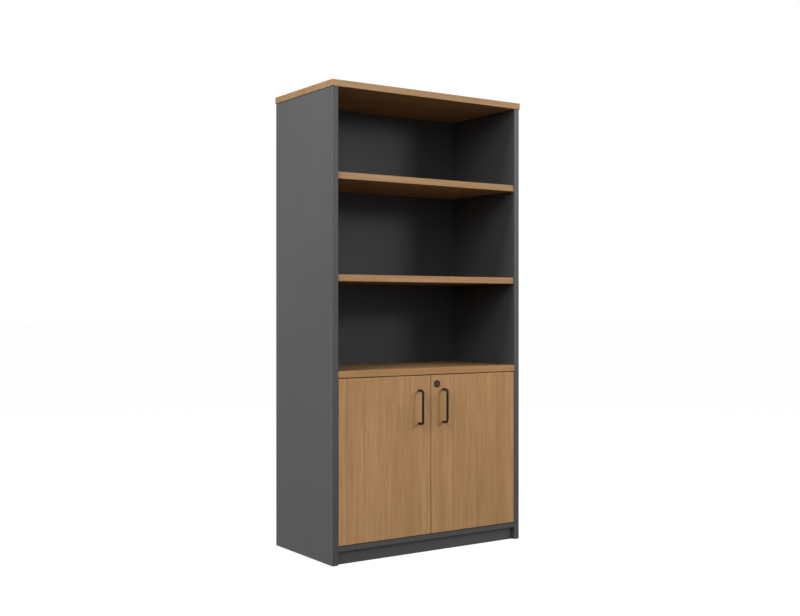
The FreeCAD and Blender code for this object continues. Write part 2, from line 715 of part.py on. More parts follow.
def hinges():
    """Two concealed hinges for each door, in nodes of two or more equal pieces."""
    spots = [(f"-{SIDE_INNER}", FRONT, level) for level in HINGE_LEVELS]
    lower_link = ("-dims.link_half_span", "-dims.link_gap")
    upper_link = ("dims.link_gap", "dims.link_half_span")
    short_arm = ("dims.short_arm_across", "dims.short_arm_deep")
    short_cup = ("dims.short_cup_across", "dims.short_cup_deep")
    long_arm = ("dims.long_arm_across", "dims.long_arm_deep")
    long_bend = ("dims.long_bend_across", "dims.long_bend_deep")
    long_cup = ("dims.long_cup_across", "dims.long_cup_deep")
    keep_pair(repeat("hinge_cups", hinge_cup(), spots), "hinge_cups")
    keep_pair(repeat("hinge_arms", hinge_arm(), spots), "hinge_arms")
    keep_pair(repeat("hinge_plates", mounting_plate(), spots), "hinge_plates")
    short = hinge_link("short_link", [short_arm, short_cup], *lower_link, -1)
    keep_pair(repeat("short_links", short, spots), "hinge_short_links")
    long = hinge_link("long_link", [long_arm, long_bend, long_cup], *upper_link, 1)
    keep_pair(repeat("long_links", long, spots), "hinge_long_links")
    low_pin = hinge_arm_pin("low_pin", short_arm, "-dims.arm_outer", "-dims.link_gap")
    high_pin = hinge_arm_pin("high_pin", long_arm, "dims.link_gap", "dims.arm_outer")
    pins = doc.addObject("Part::Compound", "hinge_pins_group")
    pins.Links = [repeat("low_pins", low_pin, spots), repeat("high_pins", high_pin, spots)]
    keep_pair(pins, "hinge_pins")
    hinge_screws()


def hinge_screws():
    """Screws of the cups, the mounting plates and the arms."""
    cup_spots = []
    plate_spots = []
    arm_spots = []
    for level in HINGE_LEVELS:
        for side in (-1, 1):
            cup_spots.append((f"dims.cup_ear_across - {SIDE_INNER}",
                              f"{FRONT} + dims.thin_board + dims.cup_flange",
                              f"{level} + {side} * dims.cup_ear_pitch / 2"))
            plate_spots.append((f"dims.plate_base - {SIDE_INNER}", f"{FRONT} + dims.plate_screw_row",
                                f"{level} + {side} * dims.plate_screw_pitch / 2"))
        arm_spots.append((f"dims.arm_top - {SIDE_INNER}", f"{FRONT} + {ARM_SCREW_DEEP}", level))
    keep_pair(repeat("cup_screws", screw("cup"), cup_spots, turn=((1, 0, 0), -90)), "hinge_cup_screws")
    keep_pair(repeat("plate_screws", screw("plate"), plate_spots, turn=((0, 1, 0), 90)), "hinge_plate_screws")
    keep_pair(repeat("arm_screws", screw("arm"), arm_spots, turn=((0, 1, 0), 90)), "hinge_arm_screws")


# ---------------------------------------------------------------- lock and bolt

def cam_lock():
    """A cam lock: barrel and nut in the right door, and a plug that turns the cam."""
    spot = ("dims.lock_across", FRONT, "dims.lock_level")
    outer = "dims.lock_barrel / 2"
    rim = "dims.lock_collar / 2"
    inner = "(dims.lock_plug + dims.lock_play) / 2"
    face = "-dims.lock_collar_high"
    end = "dims.thin_board + dims.lock_barrel_end"
    barrel = new_body("lock_barrel")
    revolve(barrel, [
        (inner, face), (rim, face), (rim, "0"), (outer, "0"), (outer, end), (inner, end),
    ])
    keep(place(barrel, *spot), "lock_barrel")

    nut = new_body("lock_nut")
    hexagon = new_sketch(nut, "XZ_Plane", "-dims.thin_board")
    draw_facets(hexagon, "0", "0", "dims.lock_nut", sides=6)
    pad(nut, hexagon, "dims.lock_nut_high", backwards=True)
    bore(nut, "XZ_Plane", "-dims.thin_board - dims.lock_nut_high", [("0", "0")],
         "dims.lock_barrel + dims.lock_play", "dims.lock_nut_high", backwards=True, sides=24)
    keep(place(nut, *spot), "lock_nut")

    plug = new_body("lock_plug")
    radius = "dims.lock_plug / 2"
    revolve(plug, [("0", "-dims.lock_plug_proud"), (radius, "-dims.lock_plug_proud"), (radius, CAM_SEAT),
                   ("0", CAM_SEAT)])
    tail = new_sketch(plug, "XZ_Plane", f"-{CAM_SEAT}")
    half = "dims.lock_tail / 2"
    draw_rectangle(tail, f"-{half}", f"-{half}", half, half)
    pad(plug, tail, "dims.lock_cam_sheet", backwards=True)
    keyway = new_sketch(plug, "XZ_Plane", "dims.lock_plug_proud")
    draw_rectangle(keyway, "-dims.keyway_width / 2", "-dims.keyway_high / 2",
                   "dims.keyway_width / 2", "dims.keyway_high / 2")
    pocket(plug, keyway, "dims.keyway_depth")
    bore(plug, "XZ_Plane", f"-{CAM_SEAT} - dims.lock_cam_sheet", [("0", "0")],
         f"dims.cam_screw_shank + {HOLE_PLAY}", "dims.lock_tail_screw_depth", backwards=True)
    keep(place(plug, *spot), "lock_plug")

    cam = new_body("lock_cam")
    bar = new_sketch(cam, "XZ_Plane", f"-{CAM_SEAT}")
    width = "dims.lock_cam_width / 2"
    draw_slot(bar, ("0", "0"), (f"dims.lock_cam_reach - {width}", "0"), width, steps=8)
    pad(cam, bar, "dims.lock_cam_sheet", backwards=True)
    window = new_sketch(cam, "XZ_Plane", f"-{CAM_SEAT} - dims.lock_cam_sheet")
    gap = "(dims.lock_tail + dims.lock_play) / 2"
    draw_rectangle(window, f"-{gap}", f"-{gap}", gap, gap)
    pocket(cam, window, "dims.lock_cam_sheet", backwards=True)
    keep(place(cam, *spot), "lock_cam")

    fixing_spot = ("dims.lock_across", f"{FRONT} + {CAM_SEAT} + dims.lock_cam_sheet", "dims.lock_level")
    keep(place(screw("cam"), *fixing_spot, turn=((1, 0, 0), -90)), "lock_cam_screw")


def lock_keeper():
    """An angle under the fixed shelf: its leg hangs between the door and the turned-up cam."""
    body = new_body("lock_keeper")
    profile = new_sketch(body, "YZ_Plane")
    front = "dims.keeper_gap"
    inside = "dims.keeper_gap + dims.keeper_sheet"
    draw_polygon(profile, [
        (front, "-dims.keeper_drop"), (inside, "-dims.keeper_drop"), (inside, "-dims.keeper_sheet"),
        ("dims.keeper_depth", "-dims.keeper_sheet"), ("dims.keeper_depth", "0"), (front, "0"),
    ])
    pad(body, profile, "dims.keeper_length", both_ways=True)
    half = "dims.keeper_screw_pitch / 2"
    bore(body, "XY_Plane", "0", [(f"-{half}", "dims.keeper_screw_row"), (half, "dims.keeper_screw_row")],
         f"dims.keeper_screw_shank + {HOLE_PLAY}", "2 * dims.keeper_sheet")
    place(body, "dims.lock_across", f"{FRONT} + dims.thin_board", "dims.fixed_shelf_level")
    keep(body, "lock_keeper")
    spots = [(f"dims.lock_across + {side} * {half}", f"{FRONT} + dims.thin_board + dims.keeper_screw_row",
              "dims.fixed_shelf_level - dims.keeper_sheet") for side in (-1, 1)]
    keep(repeat("keeper_screws", screw("keeper"), spots, turn=((1, 0, 0), 180)), "lock_keeper_screws")


def door_bolt():
    """A barrel bolt behind the left door that slides up into the fixed shelf."""
    across = "-dims.bolt_across"
    half = "dims.bolt_plate_width / 2"
    bracket = new_body("door_bolt_bracket")
    plate = new_sketch(bracket, "XZ_Plane")
    draw_rectangle(plate, f"-{half}", "-dims.bolt_plate_foot", half, "-dims.bolt_plate_top")
    pad(bracket, plate, "dims.bolt_plate_sheet", backwards=True)
    for low, high in BOLT_KNUCKLES:
        knuckle = new_sketch(bracket, "XY_Plane", low)
        draw_rectangle(knuckle, "-dims.bolt_case / 2", "0", "dims.bolt_case / 2", "dims.bolt_standoff")
        pad(bracket, knuckle, high - low)
        dome = new_sketch(bracket, "XY_Plane", low)
        draw_facets(dome, "0", "dims.bolt_standoff", "dims.bolt_case", sides=12)
        pad(bracket, dome, high - low)
    bore(bracket, "XY_Plane", "0", [("0", "dims.bolt_standoff")], f"dims.bolt_rod + {HOLE_PLAY}",
         "dims.bolt_length + 10", sides=16)
    bore(bracket, "XZ_Plane", "0", BOLT_SCREW_HOLES, "dims.bolt_screw_hole", "2 * dims.bolt_plate_sheet")
    keep(place(bracket, across, f"{FRONT} + dims.thin_board", "dims.fixed_shelf_level"), "door_bolt_bracket")

    rod = new_body("door_bolt_rod")
    stem = new_sketch(rod, "XY_Plane")
    draw_facets(stem, "0", "0", "dims.bolt_rod", sides=16)
    pad(rod, stem, "dims.bolt_length", backwards=True)
    peg = new_sketch(rod, "XZ_Plane")
    draw_facets(peg, "0", "-dims.bolt_knob_drop", "dims.bolt_knob", sides=12)
    pad(rod, peg, "2 * dims.bolt_standoff", backwards=True)
    keep(place(rod, across, f"{FRONT} + dims.thin_board + dims.bolt_standoff",
               "dims.fixed_shelf_level - dims.bolt_rest_gap"), "door_bolt_rod")


# ---------------------------------------------------------------- build and export

def check_document():
    """Stop when any object failed or any sub-part has no valid shape."""
    doc.recompute()
    for obj in doc.Objects:
        if "Invalid" in obj.State or "Error" in obj.State:
            raise RuntimeError(f"{obj.Name} failed: {obj.State}")
    for node, obj in parts.items():
        if obj.Shape.isNull() or not obj.Shape.isValid():
            raise RuntimeError(f"{node} has no valid shape")


def export_parts():
    os.makedirs("parts", exist_ok=True)
    for node, obj in parts.items():
        obj.Shape.exportStep(f"parts/{node}.step")


fill_sheet()
side_panels()
fixed_boards()
loose_shelves()
doors()
handles()
hinges()
cam_lock()
lock_keeper()
door_bolt()
check_document()
export_parts()
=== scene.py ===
"""Looks, light and camera for the bookcase with cabinet doors, in metres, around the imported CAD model."""

import json
from math import cos, pi, radians, sin

import bmesh
import bpy
from mathutils import Matrix, Vector


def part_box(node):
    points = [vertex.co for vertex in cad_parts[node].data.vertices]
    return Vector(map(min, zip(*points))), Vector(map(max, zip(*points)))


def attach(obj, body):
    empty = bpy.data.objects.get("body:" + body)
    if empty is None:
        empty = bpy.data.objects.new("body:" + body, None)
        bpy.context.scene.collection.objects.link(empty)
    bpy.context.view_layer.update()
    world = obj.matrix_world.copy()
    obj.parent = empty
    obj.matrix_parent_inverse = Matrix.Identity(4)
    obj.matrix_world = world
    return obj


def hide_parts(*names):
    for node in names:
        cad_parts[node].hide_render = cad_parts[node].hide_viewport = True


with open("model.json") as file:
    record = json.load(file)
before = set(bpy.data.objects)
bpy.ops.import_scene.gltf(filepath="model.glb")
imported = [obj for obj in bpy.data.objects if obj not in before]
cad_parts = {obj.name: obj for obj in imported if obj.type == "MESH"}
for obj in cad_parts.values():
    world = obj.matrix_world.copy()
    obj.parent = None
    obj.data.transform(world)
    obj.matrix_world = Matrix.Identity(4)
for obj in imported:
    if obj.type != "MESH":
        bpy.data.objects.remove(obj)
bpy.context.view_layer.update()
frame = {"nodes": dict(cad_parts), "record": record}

# ---------------------------------------------------------------- view and light

# solved from the photograph, degrees and millimetres for the angles and the lens
CAMERA_PLACE = (-2.5354, -3.7473, 0.9579)
CAMERA_YAW = -34.005
CAMERA_PITCH = -0.049
CAMERA_LENS = 50.045
SENSOR_WIDTH = 36.0
CAMERA_NEAR = 0.1
CAMERA_FAR = 200.0

SOFT_WHITE = (1.0, 1.0, 1.0)
WORLD_STRENGTH = 0.40
# heights of a direction above the horizon, as sines
WORLD_FADES_FROM = 0.55
WORLD_FADES_TO = 0.75

# name, place, aimed at, width, height, power in watts
LAMPS = (
    ("right_lamp", (3.4, -2.6, 3.0), (0.0, -0.2, 1.0), 2.8, 2.2, 108.0),
    ("low_lamp", (2.4, -3.7, 2.3), (0.0, 0.0, 0.8), 0.9, 0.7, 50.0),
    ("left_front_lamp", (-3.6, -4.4, 2.2), (0.0, 0.0, 1.0), 2.0, 1.8, 42.0),
    ("left_lamp", (-4.6, -2.6, 3.2), (0.0, 0.0, 0.9), 2.0, 1.6, 138.0),
    ("side_lamp", (-3.6, -0.3, 4.4), (-0.4, 0.0, 1.0), 2.0, 1.8, 290.0),
    ("back_lamp", (1.2, 4.4, 2.9), (0.0, 0.2, 1.0), 2.4, 2.2, 150.0),
)

FLOOR_HALF_SIZE = 60.0
FLOOR_DROP = 0.0004
FLOOR_COLOUR = (0.04, 0.04, 0.04)
FLOOR_ROUGHNESS = 0.9
FLOOR_GLOW = 0.98

# ---------------------------------------------------------------- drawing materials

NOISE_MIDDLE = (0.5, 0.5, 0.5)
# between these lies most of what a noise texture gives
NOISE_SPAN = (0.3, 0.7)


class Graph:
    """One material and the nodes in it. Each method adds a node and gives its output."""

    def __init__(self, name):
        self.material = bpy.data.materials.new(name)
        self.material.use_nodes = True
        self.tree = self.material.node_tree
        self.shader = self.tree.nodes["Principled BSDF"]
        self.point = self.tree.nodes.new("ShaderNodeTexCoord").outputs["Object"]
        self.drawn_point = self.point

    def feed(self, socket, value):
        """Links an output to the socket, or writes a number, a vector or a colour into it."""
        if isinstance(value, bpy.types.NodeSocket):
            self.tree.links.new(value, socket)
        elif hasattr(socket.default_value, "__len__") and len(socket.default_value) == len(value) + 1:
            socket.default_value = (*value, 1.0)
        else:
            socket.default_value = value

    def math(self, operation, first, second=0.0):
        node = self.tree.nodes.new("ShaderNodeMath")
        node.operation = operation
        self.feed(node.inputs[0], first)
        self.feed(node.inputs[1], second)
        return node.outputs[0]

    def blended(self, values, shares):
        """The sum of the values, each times its share."""
        total = 0.0
        for value, share in zip(values, shares):
            total = self.math("ADD", total, self.math("MULTIPLY", value, share))
        return total

    def wander(self, distance, scale, shift):
        """Bends the coordinates sideways by up to half the distance, so that drawn lines aren't straight."""
        node = self.tree.nodes.new("ShaderNodeTexNoise")
        self.feed(node.inputs["Vector"], self.stretched(scale, shift))
        node.inputs["Scale"].default_value = 1.0
        centred = self.tree.nodes.new("ShaderNodeVectorMath")
        centred.operation = "SUBTRACT"
        self.feed(centred.inputs[0], node.outputs["Color"])
        self.feed(centred.inputs[1], NOISE_MIDDLE)
        moved = self.tree.nodes.new("ShaderNodeVectorMath")
        moved.operation = "MULTIPLY_ADD"
        self.feed(moved.inputs[0], centred.outputs[0])
        self.feed(moved.inputs[1], (distance, distance, distance))
        self.feed(moved.inputs[2], self.point)
        self.drawn_point = moved.outputs[0]

    def stretched(self, scale, shift):
        node = self.tree.nodes.new("ShaderNodeMapping")
        self.feed(node.inputs["Vector"], self.drawn_point)
        self.feed(node.inputs["Scale"], scale)
        self.feed(node.inputs["Location"], shift)
        return node.outputs[0]

    def noise(self, scale, shift=(0.0, 0.0, 0.0), detail=2.0, roughness=0.5):
        """A noise with so many features per metre along X, Y and Z."""
        node = self.tree.nodes.new("ShaderNodeTexNoise")
        self.feed(node.inputs["Vector"], self.stretched(scale, shift))
        node.inputs["Scale"].default_value = 1.0
        node.inputs["Detail"].default_value = detail
        node.inputs["Roughness"].default_value = roughness
        return node.outputs["Fac"]

    def ranged(self, value, low, high, to_low=0.0, to_high=1.0):
        node = self.tree.nodes.new("ShaderNodeMapRange")
        self.feed(node.inputs["Value"], value)
        for name, number in zip(("From Min", "From Max", "To Min", "To Max"), (low, high, to_low, to_high)):
            node.inputs[name].default_value = number
        return node.outputs[0]

    def ramp(self, value, stops, interpolation="LINEAR"):
        node = self.tree.nodes.new("ShaderNodeValToRGB")
        node.color_ramp.interpolation = interpolation
        elements = node.color_ramp.elements
        while len(elements) < len(stops):
            # any place will do, as the next loop sets it
            elements.new(0.5)
        for element, (place, colour) in zip(elements, stops):
            element.position = place
            element.color = (*colour, 1.0)
        self.feed(node.inputs[0], value)
        return node.outputs[0]

    def mixed(self, amount, first, second, blend="MIX"):
        node = self.tree.nodes.new("ShaderNodeMix")
        node.data_type = "RGBA"
        node.blend_type = blend
        self.feed(node.inputs["Factor"], amount)
        # sockets 6 and 7 are the colours A and B, output 2 is the colour that they mix to
        self.feed(node.inputs[6], first)
        self.feed(node.inputs[7], second)
        return node.outputs[2]

    def marked(self, colour, masks, marks):
        """The colour with marks over it, each a strength and a colour of its own, where its mask is 1."""
        for mask, (strength, mark_colour) in zip(masks, marks):
            colour = self.mixed(self.math("MULTIPLY", mask, strength), colour, mark_colour)
        return colour

    def axes(self):
        node = self.tree.nodes.new("ShaderNodeSeparateXYZ")
        self.feed(node.inputs[0], self.point)
        return node.outputs

    def near_edge(self, node_name):
        """How far a point on a board is from its nearest edge line, in metres.

        A point has three depths, one under each pair of faces, and on a face the middle one is that distance.
        """
        low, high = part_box(node_name)
        depths = []
        for axis, least, most in zip(self.axes(), low, high):
            offset = self.math("SUBTRACT", axis, (least + most) / 2)
            depths.append(self.math("SUBTRACT", (most - least) / 2, self.math("ABSOLUTE", offset)))
        x, y, z = depths
        wider = self.math("MAXIMUM", x, y)
        closer = self.math("MINIMUM", x, y)
        return self.math("MAXIMUM", closer, self.math("MINIMUM", wider, z))

    def facing(self):
        """How squarely a face looks along X, Y and Z, each from 0 to 1."""
        geometry = self.tree.nodes.new("ShaderNodeNewGeometry")
        parts = self.tree.nodes.new("ShaderNodeSeparateXYZ")
        self.feed(parts.inputs[0], geometry.outputs["True Normal"])
        return [self.math("ABSOLUTE", output) for output in parts.outputs]

    def bumped(self, height, strength, distance):
        node = self.tree.nodes.new("ShaderNodeBump")
        node.inputs["Strength"].default_value = strength
        node.inputs["Distance"].default_value = distance
        self.feed(node.inputs["Height"], height)
        self.feed(self.shader.inputs["Normal"], node.outputs[0])

    def finish(self, colour, roughness, **constants):
        self.feed(self.shader.inputs["Base Color"], colour)
        self.feed(self.shader.inputs["Roughness"], roughness)
        for name, value in constants.items():
            self.feed(self.shader.inputs[name.replace("_", " ")], value)
        return self.material


# ---------------------------------------------------------------- edges of the boards

# lighter rim along every edge: partly rubbed wear, partly painted highlight
EDGE_WEAR_AND_HIGHLIGHT_WIDTH = 0.0012
WEAR_AND_HIGHLIGHT_PATCHES = (34.0, 34.0, 34.0)
WEAR_AND_HIGHLIGHT_SPAN = (0.38, 0.68)
WEAR_AND_HIGHLIGHT_LEAST = 0.25
BAND_LINE_FROM = 0.0017
BAND_LINE_TO = 0.0022


def edge_marks(graph, node_name, seed):
    """Two masks of a lipped board: a lighter rim along its edges, partly rubbed wear and partly painted
    highlight, and the glue line of its edge band.
    """
    distance = graph.near_edge(node_name)
    patches = graph.noise(WEAR_AND_HIGHLIGHT_PATCHES, (seed, seed, seed), detail=3.0)
    close = graph.ranged(distance, 0.0, EDGE_WEAR_AND_HIGHLIGHT_WIDTH, 1.0, 0.0)
    # lighter edge rim: rubbed wear and painted highlight
    worn_and_highlit = graph.math("MULTIPLY", close, graph.ranged(patches, *WEAR_AND_HIGHLIGHT_SPAN, WEAR_AND_HIGHLIGHT_LEAST, 1.0))
    inner = graph.math("GREATER_THAN", distance, BAND_LINE_FROM)
    outer = graph.math("LESS_THAN", distance, BAND_LINE_TO)
    return worn_and_highlit, graph.math("MULTIPLY", inner, outer)


# ---------------------------------------------------------------- charcoal boards

# colours are linear, at these places of the tone
CHARCOAL_STOPS = (
    (0.32, (0.0298, 0.0300, 0.0307)),
    (0.50, (0.0380, 0.0380, 0.0384)),
    (0.68, (0.0462, 0.0462, 0.0466)),
)
CHARCOAL_CLOUDS = (2.6, 2.6, 1.7)
CHARCOAL_SPECKS = (1500.0, 1500.0, 1500.0)
CHARCOAL_FIBRES = (420.0, 420.0, 70.0)
# shares of clouds, specks and fibres in the tone
CHARCOAL_TONE = (0.35, 0.45, 0.20)
# strength and colour of the lighter edge rims (rubbed wear and painted highlight) and band line
CHARCOAL_MARKS = ((0.30, (0.17, 0.17, 0.172)), (0.35, (0.045, 0.045, 0.046)))
CHARCOAL_ROUGHNESS = (0.50, 0.62)
CHARCOAL_FIBRE_RELIEF = 0.6
CHARCOAL_RELIEF = 0.22
RELIEF_DEPTH = 0.0003


def charcoal_board(node_name, seed, gloss):
    """Melamine face with a fine pressed texture, charcoal with lighter and darker specks."""
    graph = Graph("charcoal_" + node_name)
    clouds = graph.noise(CHARCOAL_CLOUDS, (seed, 0.0, seed), detail=3.0)
    specks = graph.noise(CHARCOAL_SPECKS, (seed, seed, 0.0), roughness=0.6)
    fibres = graph.noise(CHARCOAL_FIBRES, (0.0, seed, 0.0), detail=3.0)
    tone = graph.blended((clouds, specks, fibres), CHARCOAL_TONE)
    colour = graph.ramp(tone, CHARCOAL_STOPS)
    colour = graph.marked(colour, edge_marks(graph, node_name, seed), CHARCOAL_MARKS)
    height = graph.math("ADD", specks, graph.math("MULTIPLY", fibres, CHARCOAL_FIBRE_RELIEF))
    graph.bumped(height, CHARCOAL_RELIEF, RELIEF_DEPTH)
    rough = graph.ranged(specks, *NOISE_SPAN, *CHARCOAL_ROUGHNESS)
    return graph.finish(colour, rough, Specular_IOR_Level=gloss)


# ---------------------------------------------------------------- oak boards

OAK_STOPS = (
    (0.34, (0.292, 0.157, 0.068)),
    (0.50, (0.394, 0.2205, 0.1015)),
    (0.66, (0.500, 0.295, 0.145)),
)
# features per metre across the grain and along it
OAK_WANDER = (3.0, 1.3)
OAK_BANDS = (14.0, 0.8)
OAK_FIBRES = (62.0, 4.0)
OAK_FINE = (330.0, 12.0)
OAK_PORES = (780.0, 30.0)
OAK_CLOUDS = (7.0, 4.0)
# shares of bands, fibres, fine fibres, clouds and strips in the tone
OAK_TONE = (0.26, 0.30, 0.12, 0.12, 0.20)
OAK_SEED_SHIFT = (1.7, 2.3, 0.9)
GRAIN_WANDER = 0.030
STRIP_TINTS = (0.56, 0.44, 0.52, 0.47, 0.55, 0.42)
SEAM_SPAN = (0.0006, 0.0020)
PORE_SPAN = (0.60, 0.72)
# strength and colour of pores, seams between strips, lighter edge rims (rubbed wear and painted highlight)
# and band line
OAK_MARKS = (
    (0.30, (0.17, 0.088, 0.038)),
    (0.30, (0.15, 0.080, 0.036)),
    (0.25, (0.52, 0.36, 0.22)),
    (0.30, (0.15, 0.085, 0.040)),
)
FACES_SQUARELY = 0.8
# painted shade on the end bands of a lying board
PAINTED_END_BAND_SHADE = 0.58
OAK_FINE_RELIEF = 0.5
OAK_RELIEF = 0.20
OAK_ROUGHNESS = (0.62, 0.70)
PORE_ROUGHNESS = 0.12
OAK_GLOSS = 0.08


def oak_board(node_name, seed, upright, joints, painted_face_shade, painted_band_shading):
    """Printed oak: streaked fibres, dark pores and strips of slightly different tone, grain up or across.

    On a lying board, painted shade darkens the faces and painted light and shade tint the front edge band,
    each by a tone of its own, and painted shade darkens the end bands again.
    """
    graph = Graph("oak_" + node_name)
    shift = [seed * factor for factor in OAK_SEED_SHIFT]

    def along(across, lengthwise):
        return (across, across, lengthwise) if upright else (lengthwise, across, across)

    graph.wander(GRAIN_WANDER, along(*OAK_WANDER), shift)
    bands = graph.noise(along(*OAK_BANDS), shift)
    fibres = graph.noise(along(*OAK_FIBRES), shift, detail=4.0, roughness=0.58)
    fine = graph.noise(along(*OAK_FINE), shift, detail=3.0, roughness=0.6)
    pores = graph.noise(along(*OAK_PORES), shift)
    clouds = graph.noise(along(*OAK_CLOUDS), shift)

    x, y, z = graph.axes()
    across = x if upright else y
    low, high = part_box(node_name)
    start, end = (low.x, high.x) if upright else (low.y, high.y)
    edges = (start, *joints)
    stops = [((edge - start) / (end - start), (tint,) * 3) for edge, tint in zip(edges, STRIP_TINTS)]
    strip = graph.ramp(graph.ranged(across, start, end), stops, "CONSTANT")
    seam = 0.0
    for joint in joints:
        gap = graph.math("ABSOLUTE", graph.math("SUBTRACT", across, joint))
        seam = graph.math("ADD", graph.ranged(gap, *SEAM_SPAN, 1.0, 0.0), seam)

    tone = graph.blended((bands, fibres, fine, clouds, strip), OAK_TONE)
    colour = graph.ramp(tone, OAK_STOPS)
    pore = graph.ranged(pores, *PORE_SPAN)
    colour = graph.marked(colour, (pore, seam, *edge_marks(graph, node_name, seed)), OAK_MARKS)
    # painted light and shade on lying boards: faces, edge bands and end bands toned apart
    if not upright:
        endwise, _, level = graph.facing()
        face = graph.math("GREATER_THAN", level, FACES_SQUARELY)
        band = graph.math("LESS_THAN", level, FACES_SQUARELY)
        end_band = graph.math("GREATER_THAN", endwise, FACES_SQUARELY)
        for mask, tint in ((face, (painted_face_shade,) * 3), (band, painted_band_shading), (end_band, (PAINTED_END_BAND_SHADE,) * 3)):
            colour = graph.mixed(mask, colour, tint, "MULTIPLY")
    graph.bumped(graph.math("SUBTRACT", graph.math("MULTIPLY", fine, OAK_FINE_RELIEF), pore),
                 OAK_RELIEF, RELIEF_DEPTH)
    rough = graph.math("ADD", graph.ranged(fine, *NOISE_SPAN, *OAK_ROUGHNESS),
                       graph.math("MULTIPLY", pore, PORE_ROUGHNESS))
    return graph.finish(colour, rough, Specular_IOR_Level=OAK_GLOSS)


# ---------------------------------------------------------------- metals

COAT_PEEL = (900.0, 900.0, 900.0)
COAT_RUBBING = (60.0, 60.0, 60.0)
COAT_PLACES = (0.35, 0.70)
COAT_RELIEF = 0.25
COAT_RELIEF_DEPTH = 0.0002
COAT_ROUGHNESS = (0.36, 0.50)
COAT_GLOSS = 0.09

METAL_HAZE = (70.0, 70.0, 70.0)
# shares of marks and haze in the tone
METAL_TONE = (0.5, 0.5)
METAL_PLACES = (0.35, 0.65)
METAL_RELIEF = 0.12
METAL_RELIEF_DEPTH = 0.0001
MARK_ROUGHNESS = 0.06


def powder_coat(name, dark, light):
    """Satin black coat with a fine orange peel."""
    graph = Graph(name)
    peel = graph.noise(COAT_PEEL)
    rubbed = graph.noise(COAT_RUBBING, detail=3.0)
    colour = graph.ramp(rubbed, tuple(zip(COAT_PLACES, (dark, light))))
    graph.bumped(peel, COAT_RELIEF, COAT_RELIEF_DEPTH)
    rough = graph.ranged(rubbed, *NOISE_SPAN, *COAT_ROUGHNESS)
    return graph.finish(colour, rough, Specular_IOR_Level=COAT_GLOSS)


def bare_metal(name, dark, light, roughness, brushing):
    """Plated or brushed metal with fine marks and handling haze."""
    graph = Graph(name)
    marks = graph.noise(brushing, detail=4.0, roughness=0.6)
    haze = graph.noise(METAL_HAZE, detail=3.0)
    tone = graph.blended((marks, haze), METAL_TONE)
    colour = graph.ramp(tone, tuple(zip(METAL_PLACES, (dark, light))))
    graph.bumped(marks, METAL_RELIEF, METAL_RELIEF_DEPTH)
    rough = graph.math("ADD", graph.ranged(haze, *NOISE_SPAN, *roughness),
                       graph.math("MULTIPLY", marks, MARK_ROUGHNESS))
    return graph.finish(colour, rough, Metallic=1.0)


# ---------------------------------------------------------------- dress the nodes

# node, gloss
CHARCOAL_NODES = (
    ("left_side_panel", 0.36),
    ("right_side_panel", 0.36),
    ("back_panel", 0.22),
    ("base_panel", 0.36),
    ("kickboard", 0.36),
    ("rear_rail", 0.36),
)
CHARCOAL_SEED_STEP = 3.1
# where one strip of the print ends and the next begins: depths on a lying board, X on a door
SHELF_JOINTS = (-0.118, 0.021, 0.163)
LEFT_DOOR_JOINTS = (-0.389, -0.307, -0.099)
RIGHT_DOOR_JOINTS = (0.108, 0.235, 0.327)
PLAIN = (1.0, 1.0, 1.0)
# node, seed, grain runs up, joints, painted shade of the faces, painted light and shade of the front edge
# band
OAK_NODES = (
    ("left_door", 52.6, True, LEFT_DOOR_JOINTS, 1.0, PLAIN),
    ("right_door", 23.9, True, RIGHT_DOOR_JOINTS, 1.0, PLAIN),
    ("top_panel", 8.1, False, SHELF_JOINTS, 0.92, (0.91, 0.97, 1.05)),
    ("fixed_shelf", 10.8, False, SHELF_JOINTS, 0.64, (0.90, 0.87, 0.80)),
    ("upper_shelf", 13.5, False, SHELF_JOINTS, 0.74, (0.90, 0.95, 1.02)),
    ("middle_shelf", 16.2, False, SHELF_JOINTS, 0.82, (0.89, 0.89, 0.93)),
    ("cabinet_shelf", 18.9, False, SHELF_JOINTS, 0.82, (0.90, 0.90, 0.92)),
)
# name, darkest and lightest colour
BLACK_COAT = ("black_powder_coat", (0.0120, 0.0088, 0.0068), (0.0240, 0.0178, 0.0138))
LOCK_COAT = ("lock_powder_coat", (0.0230, 0.0165, 0.0130), (0.0400, 0.0290, 0.0235))
# slot: name, darkest and lightest colour, least and greatest roughness, marks per metre
BARE_METALS = {
    "lock_steel": ("lock_nickel", (0.060, 0.050, 0.043), (0.100, 0.085, 0.074), (0.34, 0.48),
                   (900.0, 900.0, 900.0)),
    "plated_steel": ("bright_nickel", (0.55, 0.545, 0.535), (0.70, 0.695, 0.68), (0.20, 0.34),
                     (260.0, 1400.0, 1400.0)),
    "screw_steel": ("zinc_screws", (0.46, 0.465, 0.47), (0.62, 0.625, 0.63), (0.28, 0.42),
                    (1100.0, 1100.0, 1100.0)),
}


def dress(node_name, material):
    frame["nodes"][node_name].material_slots[0].material = material


def dress_all():
    """Gives each CAD node its material, and returns the metals by slot."""
    slots = {}
    for name, node in frame["nodes"].items():
        slot_name = node.material_slots[0].material.name.split(".")[0]
        slots.setdefault(slot_name, []).append(name)
    for number, (name, gloss) in enumerate(CHARCOAL_NODES, 1):
        dress(name, charcoal_board(name, number * CHARCOAL_SEED_STEP, gloss))
    for name, *style in OAK_NODES:
        dress(name, oak_board(name, *style))
    metals = {"black_metal": powder_coat(*BLACK_COAT)}
    for slot_name, style in BARE_METALS.items():
        metals[slot_name] = bare_metal(*style)
    for slot_name, material in metals.items():
        for name in slots[slot_name]:
            dress(name, material)
    dress("lock_barrel", powder_coat(*LOCK_COAT))
    return metals


# ---------------------------------------------------------------- new pieces

WELD = 1e-6
SMOOTH_BELOW = radians(32.0)


def body_with(node_name):
    """The body that carries a CAD node."""
    bodies = frame["record"]["behaviour"]["bodies"]
    return next(body for body, names in bodies.items() if node_name in names)


